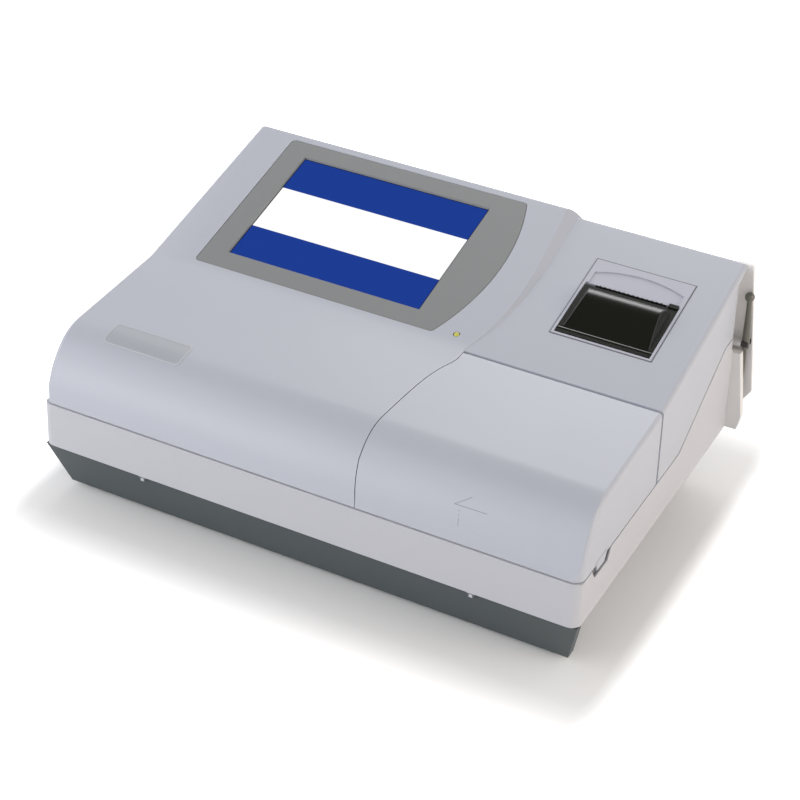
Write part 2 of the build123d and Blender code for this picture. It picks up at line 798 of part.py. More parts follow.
with BuildPart() as belt_clamp:
    with BuildSketch(Plane.XZ.offset(-carriage_y - 10)):
        with BuildLine():
            Polyline((60.6, 56.8), (66.6, 56.8), (66.6, carriage_low), (80, carriage_low), (80, 75), (60.6, 75),
                     close=True)
        make_face()
        with Locations((belt_x + pulley_pitch_radius, 60)):
            Rectangle(1.9, 9, mode=Mode.SUBTRACT)
    extrude(amount=20)
finish(belt_clamp, "belt_clamp")

with BuildPart() as carriage_motor:
    with BuildSketch(Plane.XY.offset(deck_bottom - 34)):
        with Locations((belt_x, motor_y)):
            RectangleRounded(42, 42, 4)
    extrude(amount=34)
    chamfer(carriage_motor.faces().filter_by(Axis.Z).edges(), 0.8)
    with BuildSketch(Plane.XY.offset(deck_bottom)):
        with Locations((belt_x, motor_y)):
            Circle(motor_pilot_radius)
    extrude(amount=deck_thickness)
    with BuildSketch(Plane.XY.offset(23.5)):
        with Locations((belt_x, motor_y)):
            Circle(2.5 + run_clearance)
    extrude(amount=40, mode=Mode.SUBTRACT)
finish(carriage_motor, "carriage_motor")

# ------------------------------------------------------------------ optics: lamp, filter wheel, fibre, channels
wheel_y = beam_y + 24.0
wheel_x = -5.0
wheel_thickness = 4.0
filter_radius = 5.15
channel_pitch = 9.0
channels = 8

with BuildPart() as filter_wheel:
    with BuildSketch(Plane.YZ.offset(wheel_x)):
        with Locations((wheel_y, beam_z)):
            Circle(34)
            with PolarLocations(24, 8):
                Circle(filter_radius + seat_clearance, mode=Mode.SUBTRACT)
            with PolarLocations(34, 1, start_angle=22.5):
                Rectangle(6, 2.4, mode=Mode.SUBTRACT)
    extrude(amount=wheel_thickness)
    with BuildSketch(Plane.YZ.offset(wheel_x - 4)):
        with Locations((wheel_y, beam_z)):
            Circle(8)
    extrude(amount=4)
    with BuildSketch(Plane.YZ.offset(wheel_x - 5)):
        with Locations((wheel_y, beam_z)):
            Circle(2.5 + seat_clearance)
    extrude(amount=12, mode=Mode.SUBTRACT)
finish(filter_wheel, "filter_wheel")

with BuildPart() as interference_filters:
    with BuildSketch(Plane.YZ.offset(wheel_x + 0.5)):
        with Locations((wheel_y, beam_z)):
            with PolarLocations(24, 8):
                Circle(filter_radius)
    extrude(amount=3)
finish(interference_filters, "interference_filters")

with BuildPart() as filter_shaft:
    with BuildSketch(Plane.YZ.offset(wheel_x - 5)):
        with Locations((wheel_y, beam_z)):
            Circle(2.5)
    extrude(amount=32)
finish(filter_shaft, "filter_shaft")

with BuildPart() as filter_bracket:
    with BuildSketch(Plane.YZ.offset(3)):
        with Locations((36, (deck_top + 112) / 2)):
            RectangleRounded(56, 112 - deck_top, 4)
        with Locations((wheel_y, beam_z)):
            Circle(motor_pilot_radius + 0.1, mode=Mode.SUBTRACT)
        with Locations((beam_y, beam_z)):
            Circle(fibre_radius + 0.05, mode=Mode.SUBTRACT)
    extrude(amount=3)
    with BuildSketch(Plane.XY.offset(deck_top)):
        with Locations((-3, 50)):
            Rectangle(18, 28)
    extrude(amount=2.5)
finish(filter_bracket, "filter_bracket")

with BuildPart() as filter_motor:
    with BuildSketch(Plane.YZ.offset(6)):
        with Locations((wheel_y, beam_z)):
            RectangleRounded(35, 35, 4)
    extrude(amount=24)
    with BuildSketch(Plane.YZ.offset(3)):
        with Locations((wheel_y, beam_z)):
            Circle(motor_pilot_radius)
    extrude(amount=3)
    with BuildSketch(Plane.YZ.offset(2)):
        with Locations((wheel_y, beam_z)):
            Circle(2.5 + run_clearance)
    extrude(amount=26, mode=Mode.SUBTRACT)
finish(filter_motor, "filter_motor")

with BuildPart() as lamp_house:
    with BuildSketch(Plane.XY.offset(deck_top)):
        with Locations((-36, beam_y)):
            Rectangle(36, 30)
    extrude(amount=14)
    with BuildSketch(Plane.XY.offset(deck_top + 14)):
        with Locations((-36, beam_y)):
            RectangleRounded(48, 40, 3)
    extrude(amount=50)
    with BuildSketch(Plane.XY.offset(deck_top + 50)):
        with Locations((-36, beam_y)):
            with GridLocations(7, 0, 6, 1):
                Rectangle(3.6, 42)
    extrude(amount=20, mode=Mode.SUBTRACT)
    with BuildSketch(Plane.YZ.offset(-12)):
        with Locations((beam_y, beam_z)):
            Circle(7)
    extrude(amount=4.5)
    with BuildSketch(Plane.YZ.offset(-50)):
        with Locations((beam_y, beam_z)):
            Circle(5.5)
    extrude(amount=50, mode=Mode.SUBTRACT)
finish(lamp_house, "lamp_house")

with BuildPart() as halogen_lamp:
    with BuildSketch(Plane.XZ.offset(-beam_y)):
        with BuildLine():
            Polyline((-50, beam_z), (-50, beam_z + 4), (-40, beam_z + 4), (-40, beam_z + 3.2), (-30, beam_z + 3.2))
            CenterArc((-30, beam_z), 3.2, 0, 90)
            Line((-26.8, beam_z), (-50, beam_z))
        make_face()
    revolve(axis=Axis((0, beam_y, beam_z), (1, 0, 0)))
finish(halogen_lamp, "halogen_lamp")

with BuildPart() as fibre_bundle:
    with BuildLine() as fibre_path:
        FilletPolyline(
            (2, beam_y, beam_z),
            (fibre_drop_x, beam_y, beam_z),
            (fibre_drop_x, beam_y, 34),
            (carriage_x, beam_y, 34),
            (carriage_x, beam_y, deck_top + 2),
            radius=14,
        )
    with BuildSketch(Plane(origin=(2, beam_y, beam_z), z_dir=(1, 0, 0))):
        Circle(fibre_radius)
    sweep()
finish(fibre_bundle, "fibre_bundle")

with BuildPart() as light_guide_block:
    with BuildSketch(Plane.XY.offset(deck_top)):
        with Locations((carriage_x, beam_y)):
            RectangleRounded(80, 18, 3)
    extrude(amount=17)
    with BuildSketch(Plane.XY.offset(deck_top + 8)):
        with Locations((carriage_x, beam_y)):
            with GridLocations(channel_pitch, 0, channels, 1):
                Circle(2.6)
    extrude(amount=20, mode=Mode.SUBTRACT)
    with BuildSketch(Plane.XY.offset(deck_top)):
        with Locations((carriage_x, beam_y)):
            Circle(fibre_radius + 0.1)
    extrude(amount=2.2, mode=Mode.SUBTRACT)
finish(light_guide_block, "light_guide_block")

with BuildPart() as channel_lenses:
    with BuildSketch(Plane.XY.offset(deck_top + 13)):
        with Locations((carriage_x, beam_y)):
            with GridLocations(channel_pitch, 0, channels, 1):
                Circle(2.5)
    extrude(amount=2.5)
finish(channel_lenses, "channel_lenses")

with BuildPart() as detector_head:
    with BuildSketch(Plane.XY.offset(98)):
        with Locations((carriage_x, beam_y)):
            RectangleRounded(88, 22, 3)
    extrude(amount=14)
    with BuildSketch(Plane.XY.offset(98)):
        with Locations((carriage_x, beam_y)):
            with GridLocations(channel_pitch, 0, channels, 1):
                Circle(2.6)
    extrude(amount=9, mode=Mode.SUBTRACT)
finish(detector_head, "detector_head")

with BuildPart() as head_bridge:
    with BuildSketch(Plane.XZ.offset(-6)):
        with BuildLine():
            Polyline((38.6, deck_top), (38.6, 115), (210, 115), (210, deck_top), (207, deck_top), (207, 112),
                     (41.6, 112), (41.6, deck_top), close=True)
        make_face()
    extrude(amount=-26)
    fillet(head_bridge.edges().filter_by(Axis.Y).group_by(Axis.Z)[-1], 2.5)
finish(head_bridge, "head_bridge")

# ------------------------------------------------------------------ electronics
board_at = (-115.0, -76.0)
with BuildPart() as main_board:
    with BuildSketch(Plane.XY.offset(60)):
        with Locations(board_at):
            RectangleRounded(170, 138, 3)
    extrude(amount=1.6)
    with BuildSketch(Plane.XY.offset(61.6)):
        with Locations((-140, -60)):
            Rectangle(28, 28)
        with Locations((-90, -40), (-90, -75)):
            Rectangle(20, 14)
        with Locations((-175, -40)):
            Rectangle(14, 40)
    extrude(amount=3)
    with BuildSketch(Plane.XY.offset(61.6)):
        with Locations((-60, -115), (-78, -115), (-96, -115)):
            Circle(5)
        with Locations((-50, -40)):
            Rectangle(8, 44)
    extrude(amount=11)
finish(main_board, "main_board")

with BuildPart() as board_standoffs:
    with BuildSketch(Plane.XY.offset(deck_top)):
        with Locations(board_at):
            with GridLocations(156, 124, 2, 2):
                RegularPolygon(3.2, 6)
    extrude(amount=60 - deck_top)
finish(board_standoffs, "board_standoffs")

with BuildPart() as power_supply:
    with BuildSketch(Plane.XY.offset(deck_top)):
        with Locations((-155, 78)):
            RectangleRounded(100, 96, 2)
    extrude(amount=42)
    with BuildSketch(Plane.XY.offset(deck_top + 40)):
        with Locations((-155, 78)):
            with GridLocations(8, 30, 10, 2):
                Rectangle(3.6, 24)
    extrude(amount=4, mode=Mode.SUBTRACT)
finish(power_supply, "power_supply")

fan_x = -fan_at[0]
fan_rear = rear_y - wall
with BuildPart() as fan_frame:
    with BuildSketch(Plane.XZ.offset(-fan_rear)):
        with Locations((fan_x, fan_at[1])):
            RectangleRounded(60, 60, 4)
            Circle(28, mode=Mode.SUBTRACT)
            with GridLocations(50, 50, 2, 2):
                Circle(2.1, mode=Mode.SUBTRACT)
    extrude(amount=15)
    with BuildSketch(Plane.XZ.offset(-fan_rear + 13.4)):
        with Locations((fan_x, fan_at[1])):
            Circle(11)
            with PolarLocations(19, 3):
                Rectangle(20, 3)
    extrude(amount=1.6)
    with BuildSketch(Plane.XZ.offset(-fan_rear + 5)):
        with Locations((fan_x, fan_at[1])):
            Circle(2 + run_clearance)
    extrude(amount=20, mode=Mode.SUBTRACT)
finish(fan_frame, "fan_frame")

with BuildPart() as fan_rotor:
    with BuildSketch(Plane.XZ.offset(-fan_rear + 2)) as blades:
        with Locations((fan_x, fan_at[1])):
            Circle(12)
            with PolarLocations(18, 7):
                Rectangle(17, 2.2, rotation=24)
    extrude(amount=10)
    with BuildSketch(Plane.XZ.offset(-fan_rear + 12)):
        with Locations((fan_x, fan_at[1])):
            Circle(2)
    extrude(amount=3)
finish(fan_rotor, "fan_rotor")

# ------------------------------------------------------------------ rear sockets and mains switch
inlet_x = -inlet_at[0]
socket_y = rear_y - socket_recess
with BuildPart() as mains_inlet:
    with BuildSketch(Plane.XZ.offset(-socket_y)):
        with Locations((inlet_x, inlet_at[1])):
            RectangleRounded(30.5, 23, 2)
    extrude(amount=-socket_recess)
    with BuildSketch(Plane.XZ.offset(-socket_y)):
        with Locations((inlet_x, inlet_at[1])):
            Rectangle(27, 19.5)
    extrude(amount=20)
    with BuildSketch(Plane.XZ.offset(-rear_y)) as inlet_mouth:
        with Locations((inlet_x, inlet_at[1])):
            Rectangle(24, 16.4)
        chamfer(inlet_mouth.vertices().group_by(Axis.Y)[0], 4.5)
    extrude(amount=17, mode=Mode.SUBTRACT)
finish(mains_inlet, "mains_inlet")

with BuildPart() as inlet_pins:
    with BuildSketch(Plane.XZ.offset(-socket_y + 15)):
        with Locations((inlet_x - 7, inlet_at[1] - 2), (inlet_x, inlet_at[1] + 2), (inlet_x + 7, inlet_at[1] - 2)):
            Rectangle(2, 4)
    extrude(amount=-13)
finish(inlet_pins, "inlet_pins")

switch_x = -switch_at[0]
rocker_width = 12.0
rocker_tilt = 8.0
pivot_radius = 1.6
rocker_plane = Plane(
    origin=(switch_x - rocker_width / 2, socket_y - 1.5, switch_at[1]),
    x_dir=(0, math.cos(math.radians(rocker_tilt)), math.sin(math.radians(rocker_tilt))),
    z_dir=(1, 0, 0),
)
with BuildPart() as switch_housing:
    with BuildSketch(Plane.XZ.offset(-socket_y)):
        with Locations((switch_x, switch_at[1])):
            RectangleRounded(21.6, 26, 1.5)
    extrude(amount=-1.6)
    with BuildSketch(Plane.XZ.offset(-socket_y)):
        with Locations((switch_x, switch_at[1])):
            Rectangle(rocker_width + 3.6, 22)
    extrude(amount=16)
    with BuildSketch(Plane.XZ.offset(-rear_y)):
        with Locations((switch_x, switch_at[1])):
            Rectangle(rocker_width + 0.6, 20)
    extrude(amount=14, mode=Mode.SUBTRACT)
    with BuildSketch(rocker_plane.offset(-3)):
        Circle(pivot_radius + run_clearance)
    extrude(amount=rocker_width + 6, mode=Mode.SUBTRACT)
finish(switch_housing, "switch_housing")

with BuildPart() as power_rocker:
    with BuildSketch(rocker_plane):
        with BuildLine():
            Polyline((2.1, -9.2), (-3.5, -9.2), (-5.5, 0), (-3.5, 9.2), (2.1, 9.2))
            ThreePointArc((2.1, 9.2), (0.6, 0), (2.1, -9.2))
        make_face()
    extrude(amount=rocker_width)
    with BuildSketch(rocker_plane.offset(-1.4)):
        Circle(pivot_radius)
    extrude(amount=rocker_width + 2.8)
finish(power_rocker, "power_rocker")

with BuildPart() as data_ports:
    for port_x, port_z in port_places:
        with BuildSketch(Plane.XZ.offset(-rear_y)):
            with Locations((-port_x, port_z)):
                RectangleRounded(17.0, 8.6, 2)
        extrude(amount=16)
        with BuildSketch(Plane.XZ.offset(-rear_y)):
            with Locations((-port_x, port_z)):
                RectangleRounded(15.4, 7.0, 1.6)
                Rectangle(11.6, 2.6, mode=Mode.SUBTRACT)
        extrude(amount=3.4, mode=Mode.SUBTRACT)
finish(data_ports, "data_ports")

# ------------------------------------------------------------------ display
glass_depth = 1.6                        # the glass lies this far under the panel's surface
glass_thickness = 1.8

with BuildPart() as display_bezel:
    extrude(bezel_outline(0), amount=-3.0)
    fillet(display_bezel.faces().sort_by(Axis.Z)[-1].outer_wire().edges(), 0.8)
    with BuildSketch(display_plane.offset(-3.0)):
        with Locations(((-189.5 + 47.5) / 2, screen_at[1])):
            RectangleRounded(248, 174, 6)
    extrude(amount=-3.0)
    with BuildSketch(display_plane.offset(-glass_depth)):
        with Locations(screen_at):
            Rectangle(185, 139)
    extrude(amount=-6, mode=Mode.SUBTRACT)
    with BuildSketch(display_plane.offset(-2.5)):
        with Locations(led_at):
            Circle(led_radius + 0.1)
    extrude(amount=-4, mode=Mode.SUBTRACT)
    with BuildSketch(display_plane.offset(0.5)):
        with Locations(screen_at):
            Rectangle(screen_size[0] + 1, screen_size[1] + 1)
    extrude(amount=-4, taper=20, mode=Mode.SUBTRACT)
finish(display_bezel, "display_bezel")

with BuildPart() as touch_glass:
    with BuildSketch(display_plane.offset(-glass_depth)):
        with Locations(screen_at):
            Rectangle(184, 138)
    extrude(amount=-glass_thickness)
finish(touch_glass, "touch_glass")

with BuildPart() as lcd_module:
    with BuildSketch(display_plane.offset(-glass_depth - glass_thickness)):
        with Locations(screen_at):
            Rectangle(184, 138)
    extrude(amount=-7)
finish(lcd_module, "lcd_module")

with BuildPart() as power_led:
    with BuildSketch(display_plane.offset(-6)):
        with Locations(led_at):
            Circle(led_radius)
    extrude(amount=6.6)
    fillet(power_led.faces().sort_by(Axis.Z)[-1].edges(), 1.2)
finish(power_led, "power_led")

# ------------------------------------------------------------------ receipt printer
printer_section = Plane(
    origin=(0, crease_y, crease_z),
    x_dir=(0, math.cos(printer_slope), math.sin(printer_slope)),
    z_dir=(1, 0, 0),
)                                        # local x up the slope, local y out of the panel
lid_hinge = (54.0, -2.2)
lid_width = 79.0
lid_rear = 108.4
lid_thickness = 2.4
window = (80.0, 48.2, 111.4)             # width, front edge and rear edge of the frame's window
roll_at = (80.0, -24.0)
roll_radius = 19.0
roll_width = 57.5
platen_at = (103.4, -6.8)
platen_radius = 4.4
release_x = 190.2
release_width = 8.0
printer_x = printer_at[0]


def printer_cylinder(place, radius, start, width):
    """A cylinder across the printer, its centre given on the printer's side section."""
    with BuildPart() as barrel:
        with BuildSketch(printer_section.offset(start)):
            with Locations(place):
                Circle(radius)
        extrude(amount=width)
    return barrel.part


with BuildPart() as printer_frame:
    with BuildSketch(printer_plane.offset(0.3)) as face_outline:
        with Locations(printer_at):
            Rectangle(*printer_size)
    extrude(amount=-2.6)
    with BuildSketch(printer_plane.offset(-2.3)):
        with Locations((printer_x, (46.4 + 138.3) / 2)):
            Rectangle(84.5, 138.3 - 46.4)
    extrude(amount=-43.7)
    with BuildSketch(printer_plane.offset(1)):
        with Locations((printer_x, (window[1] + window[2]) / 2)):
            Rectangle(window[0], window[2] - window[1])
    extrude(amount=-45, mode=Mode.SUBTRACT)
    # arched step in the strip above the window
    with BuildSketch(printer_plane.offset(0.3)):
        with BuildLine():
            Line((printer_x - 38, window[2]), (printer_x + 38, window[2]))
            Line((printer_x + 38, window[2]), (printer_x + 38, 125))
            ThreePointArc((printer_x + 38, 125), (printer_x, 133), (printer_x - 38, 125))
            Line((printer_x - 38, 125), (printer_x - 38, window[2]))
        make_face()
    extrude(amount=-0.9, mode=Mode.SUBTRACT)
    # pocket of the release button
    with BuildSketch(printer_plane.offset(1)):
        with Locations((release_x, window[2])):
            Rectangle(release_width + 0.4, 3.4)
    extrude(amount=-8, mode=Mode.SUBTRACT)
    hinge_reach = window[0] / 2 + 1.8
    add(printer_cylinder(lid_hinge, 1.5 + run_clearance, printer_x - hinge_reach, 2 * hinge_reach), mode=Mode.SUBTRACT)
finish(printer_frame, "printer_frame")

bulge_low = 52.5
bulge_high = 103.0
bulge_half = 36.5


def lid_bulge(inset):
    """The lid's rounded hump: long rise, crest near the rear, sloped ends."""
    floor = -1.0 - inset
    crest = 7.4 - inset
    with BuildPart() as bulge:
        with BuildSketch(printer_section.offset(printer_x - bulge_half)):
            with BuildLine():
                Spline((bulge_low + inset, floor), (66, 2.6 - inset), (82, 6.2 - inset), (93.5, crest),
                       (100.4 - inset / 2, 4.6 - inset), (bulge_high - inset, floor))
                Line((bulge_high - inset, floor), (bulge_low + inset, floor))
            make_face()
        extrude(amount=2 * bulge_half)
        ends = Plane(origin=printer_plane.from_local_coords((printer_x, 0, 0)), x_dir=(1, 0, 0),
                     z_dir=(0, -math.cos(printer_slope), -math.sin(printer_slope)))
        with BuildSketch(ends):
            with BuildLine():
                low_end = bulge_half - inset
                high_end = bulge_half - inset - 5.5
                Polyline((-low_end, floor), (low_end, floor), (high_end, crest + 1), (-high_end, crest + 1), close=True)
            make_face()
        extrude(amount=-150, mode=Mode.INTERSECT)
        if not inset:
            rims = bulge.faces().filter_by(lambda face: 0.5 < abs(face.normal_at().X) < 0.999).edges()
            rims = [edge for edge in rims if abs(edge.center().X - printer_x) < bulge_half - 0.8]
            fillet(rims, 2.0)
    return bulge.part


with BuildPart() as printer_lid:
    with BuildSketch(printer_section.offset(printer_x - lid_width / 2)):
        with Locations(((49.3 + lid_rear) / 2, -lid_thickness / 2)):
            Rectangle(lid_rear - 49.3, lid_thickness)
        with Locations(lid_hinge):
            Circle(2.6)
    extrude(amount=lid_width)
    add(lid_bulge(0.0))
    add(lid_bulge(2.0), mode=Mode.SUBTRACT)
    for lug_x in (printer_x - 36.5, printer_x + 34.0):
        with BuildSketch(printer_section.offset(lug_x)):
            with Locations((platen_at[0], -4.6)):
                Rectangle(7.6, 5)
            with Locations(platen_at):
                Circle(3.8)
        extrude(amount=2.5)
    add(printer_cylinder(platen_at, 2 + run_clearance, printer_x - 40, 80), mode=Mode.SUBTRACT)
    for stub_x in (printer_x - lid_width / 2 - 1.8, printer_x + lid_width / 2):
        add(printer_cylinder(lid_hinge, 1.5, stub_x, 1.8))
finish(printer_lid, "printer_lid")

with BuildPart() as lid_release:
    with BuildSketch(printer_plane.offset(-3.4)):
        with Locations((release_x, 110.8)):
            Rectangle(release_width, 4.0)
    extrude(amount=4.8)
    chamfer(lid_release.faces().sort_by(Axis.Z)[-1].edges(), 0.6)
finish(lid_release, "lid_release")

with BuildPart() as platen_roller:
    add(printer_cylinder(platen_at, platen_radius, printer_x - 30, 60))
finish(platen_roller, "platen_roller")

with BuildPart() as platen_shaft:
    add(printer_cylinder(platen_at, 2.0, printer_x - 37.5, 75))
    add(printer_cylinder(platen_at, 2.02, printer_x - 30, 60), mode=Mode.SUBTRACT)
finish(platen_shaft, "platen_shaft")

with BuildPart() as paper_roll:
    add(printer_cylinder(roll_at, roll_radius, printer_x - roll_width / 2, roll_width))
    add(printer_cylinder(roll_at, 6.52, printer_x - 40, 80), mode=Mode.SUBTRACT)
finish(paper_roll, "paper_roll")

with BuildPart() as paper_core:
    add(printer_cylinder(roll_at, 6.5, printer_x - roll_width / 2 - 0.5, roll_width + 1))
    add(printer_cylinder(roll_at, 5.5, printer_x - 40, 80), mode=Mode.SUBTRACT)
finish(paper_core, "paper_core")

with BuildPart() as thermal_head:
    with BuildSketch(printer_section.offset(printer_x - 31)):
        with Locations((110.2, -8.5)):
            Rectangle(2.2, 11)
    extrude(amount=60)
finish(thermal_head, "thermal_head")

with BuildPart() as tear_bar:
    with BuildSketch(Plane(origin=printer_plane.from_local_coords((printer_x - 1, 110.6, -2.6)), x_dir=(1, 0, 0),
                           z_dir=(0, -math.cos(printer_slope), -math.sin(printer_slope)))):
        with Locations((0, 1.3)):
            Rectangle(60, 2.6)
        with GridLocations(4, 0, 14, 1):
            with Locations((0, 2.6)):
                RegularPolygon(1.2, 3, rotation=90)
    extrude(amount=0.6)
finish(tear_bar, "tear_bar")

# ------------------------------------------------------------------ stylus, its holder and its clip
stylus_tip = (237.8, 156.8, 87.5)
stylus_lean = 3.65                       # the top leans towards the case, in degrees
stylus_frame = Plane(
    origin=stylus_tip,
    x_dir=(math.cos(math.radians(stylus_lean)), 0, math.sin(math.radians(stylus_lean))),
    z_dir=(-math.sin(math.radians(stylus_lean)), 0, math.cos(math.radians(stylus_lean))),
)
clip_height = 36.0                       # along the stylus, from its tip
holder_top = 192.5
post_rear = 155.0

# distance from the tip at both ends, radius at both ends: tip, rod, shoulder, grip, neck
stylus_steps = (
    (0, 4, 0.4, 0.9),
    (4, 31, 0.9, 1.4),
    (31, 34, 1.4, 3.1),
    (34, 44, 3.1, 3.1),
    (44, 78, 3.1, 1.9),
)

with BuildPart() as stylus_holder:
    # wing behind the stylus, its outer edge flared downwards
    with BuildSketch(Plane.XZ.offset(-wing_front)) as wing:
        with BuildLine():
            Polyline((recess_floor + 0.1, pan_top + 0.3), (half_width + 8.0, pan_top + 0.3), (half_width + 8.0, 66.8),
                     (holder_reach, 79.0), (half_width + 0.6, holder_top), (recess_floor + 0.1, holder_top),
                     close=True)
        make_face()
        fillet(wing.vertices().group_by(Axis.Y)[-1].sort_by(Axis.X)[-1], 3)
    extrude(amount=wing_front - rear_y)
    # strip on the floor of the recess
    with BuildSketch(Plane.YZ.offset(recess_floor + 0.1)):
        with Locations(((post_front + wing_front) / 2, (pan_top + 182) / 2)):
            Rectangle(wing_front - post_front, 182 - pan_top - 0.6)
    extrude(amount=2.2)
    # post that closes the lower part of the recess, its foot rounded
    with BuildSketch(Plane.XZ.offset(-post_front)) as post:
        with BuildLine():
            Polyline((recess_floor + 0.1, pan_top + 0.3), (half_width + 11.0, pan_top + 0.3),
                     (half_width + 13.4, 60), (half_width + 4.8, 118.5), (recess_floor + 0.1, 118.5), close=True)
        make_face()
        fillet(post.vertices().sort_by(Axis.X)[-1], 6)
    extrude(amount=post_front - post_rear)
finish(stylus_holder, "stylus_holder")

with BuildPart() as stylus:
    for low, high, low_radius, high_radius in stylus_steps:
        with Locations(stylus_frame.offset(low).location):
            if low_radius == high_radius:
                Cylinder(low_radius, high - low, align=(Align.CENTER, Align.CENTER, Align.MIN))
            else:
                Cone(low_radius, high_radius, high - low, align=(Align.CENTER, Align.CENTER, Align.MIN))
    with Locations(stylus_frame.offset(80).location):
        Sphere(4.1)
finish(stylus, "stylus")

with BuildPart() as stylus_clip:
    with BuildSketch(stylus_frame.offset(clip_height)):
        with Locations((-6.3, 0)):
            RectangleRounded(19.2, 9.0, 1.2)
        Circle(3.2, mode=Mode.SUBTRACT)
        with Locations((5, 0)):
            Rectangle(10, 6.4, mode=Mode.SUBTRACT)
    extrude(amount=4)
finish(stylus_clip, "stylus_clip")
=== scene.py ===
import math

import bpy
import numpy as np
from mathutils import Matrix, Vector


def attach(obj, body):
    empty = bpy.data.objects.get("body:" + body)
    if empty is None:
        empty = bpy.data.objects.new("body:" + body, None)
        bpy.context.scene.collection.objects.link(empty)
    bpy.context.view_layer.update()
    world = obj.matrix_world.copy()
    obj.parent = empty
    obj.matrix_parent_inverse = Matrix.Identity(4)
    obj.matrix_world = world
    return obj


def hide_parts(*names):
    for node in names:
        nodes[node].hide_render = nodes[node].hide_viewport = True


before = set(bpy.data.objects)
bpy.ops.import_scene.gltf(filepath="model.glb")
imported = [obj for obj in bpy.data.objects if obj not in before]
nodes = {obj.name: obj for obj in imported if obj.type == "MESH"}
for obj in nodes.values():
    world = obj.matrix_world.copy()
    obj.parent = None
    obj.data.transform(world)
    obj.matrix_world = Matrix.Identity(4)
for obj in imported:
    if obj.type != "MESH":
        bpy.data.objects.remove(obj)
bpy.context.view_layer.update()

# ---------------------------------------------------------------- camera
# A long lens some 1.65 m away, a little right of the front and well above the bench.  It is rolled
# slightly, so that the case leans in the frame.
azimuth = math.radians(25.49)
elevation = math.radians(32.58)
roll = math.radians(3.37)
target = Vector((-0.00758, 0.005, 0.07312))
distance = 1.65341
backwards = Vector((math.sin(azimuth) * math.cos(elevation), -math.cos(azimuth) * math.cos(elevation),
                    math.sin(elevation)))
level = Vector((math.cos(azimuth), math.sin(azimuth), 0.0))
upright = backwards.cross(level)
right = level * math.cos(roll) + upright * math.sin(roll)
upwards = upright * math.cos(roll) - level * math.sin(roll)
camera = bpy.data.objects.new("camera", bpy.data.cameras.new("camera"))
turn = Matrix((right, upwards, backwards)).transposed().to_4x4()
camera.matrix_world = Matrix.Translation(target + backwards * distance) @ turn
camera.data.sensor_width = 36.0
camera.data.lens = 91.455
camera.data.clip_start = 0.05
camera.data.clip_end = 50.0
bpy.context.scene.collection.objects.link(camera)
bpy.context.scene.camera = camera

# ---------------------------------------------------------------- upper cover
# Injection-moulded ABS in a light cool grey with a fine spark-eroded texture.  The display and the
# printer are let into its two slopes, and a recess at its right rear corner takes the stylus.


class Value:
    """A shader output that adds, subtracts and multiplies like a number."""

    def __init__(self, graph, socket):
        self.graph = graph
        self.socket = socket

    def maths(self, operation, other, swap=False):
        first, second = (other, self) if swap else (self, other)
        return self.graph.node("ShaderNodeMath", {"operation": operation}, {0: first, 1: second})

    def __add__(self, other):
        return self.maths("ADD", other)

    def __radd__(self, other):
        return self.maths("ADD", other, True)

    def __sub__(self, other):
        return self.maths("SUBTRACT", other)

    def __rsub__(self, other):
        return self.maths("SUBTRACT", other, True)

    def __mul__(self, other):
        return self.maths("MULTIPLY", other)

    def __rmul__(self, other):
        return self.maths("MULTIPLY", other, True)

    def size(self):
        """The value without its sign."""
        return self.maths("ABSOLUTE", 0.0)

    def over(self, level, width):
        """0 below level, 1 above it, with a soft step of that width."""
        settings = {"interpolation_type": "SMOOTHSTEP"}
        values = {"Value": self, "From Min": level - width / 2, "From Max": level + width / 2}
        return self.graph.node("ShaderNodeMapRange", settings, values, "Result")


class Finish:
    """A material whose look is computed from where a point lies on its object."""

    def __init__(self, name):
        self.material = bpy.data.materials.new(name)
        self.material.use_nodes = True
        self.tree = self.material.node_tree
        self.shader = self.tree.nodes["Principled BSDF"]

    def node(self, kind, settings, values, output=0):
        new = self.tree.nodes.new(kind)
        for key, setting in settings.items():
            setattr(new, key, setting)
        for key, value in values.items():
            self.put(new.inputs[key], value)
        return Value(self, new.outputs[output])

    def put(self, socket, value):
        if isinstance(value, Value):
            self.tree.links.new(value.socket, socket)
        elif isinstance(value, tuple) and len(value) == 3 and socket.type == "RGBA":
            socket.default_value = (*value, 1.0)
        else:
            socket.default_value = value

    def set(self, **values):
        for key, value in values.items():
            self.put(self.shader.inputs[key.replace("_", " ")], value)
        return self

    def place(self):
        return self.node("ShaderNodeTexCoord", {}, {}, "Object")

    def axis(self, name):
        return self.node("ShaderNodeSeparateXYZ", {}, {0: self.place()}, name)

    def noise(self, scale, detail=2.0):
        values = {"Vector": self.place(), "Scale": scale, "Detail": detail}
        return self.node("ShaderNodeTexNoise", {}, values, 0)

    def blend(self, share, first, second):
        values = {0: share, 6: first, 7: second}
        return self.node("ShaderNodeMix", {"data_type": "RGBA"}, values, 2)

    def tint(self, share, colour):
        """Lays one more colour over the base colour by a share from 0 to 1."""
        base = self.shader.inputs["Base Color"]
        below = Value(self, base.links[0].from_socket)
        self.put(base, self.blend(share, below, colour))

    def bump(self, height, distance, strength=0.3):
        values = {"Height": height, "Distance": distance, "Strength": strength}
        return self.node("ShaderNodeBump", {}, values, 0)


def moulded(name, colour, shade, roughness, grain=900.0, depth=0.00003):
    """Moulded plastic: an even colour with a faint cloud in it, and a fine grain in the surface."""
    cloud_scale = 9.0
    spread = 0.1                # of the roughness, round its middle
    finish = Finish(name)
    cloud = finish.noise(cloud_scale)
    grains = finish.noise(grain, 1.0)
    finish.set(
        Base_Color=finish.blend(cloud, colour, shade),
        Roughness=grains * spread + (roughness - spread / 2),
        Normal=finish.bump(grains, depth),
    )
    return finish


def paint(names, finish):
    """Gives CAD nodes one material over all their faces."""
    for name in names:
        mesh = nodes[name].data
        mesh.materials.clear()
        mesh.materials.append(finish.material)


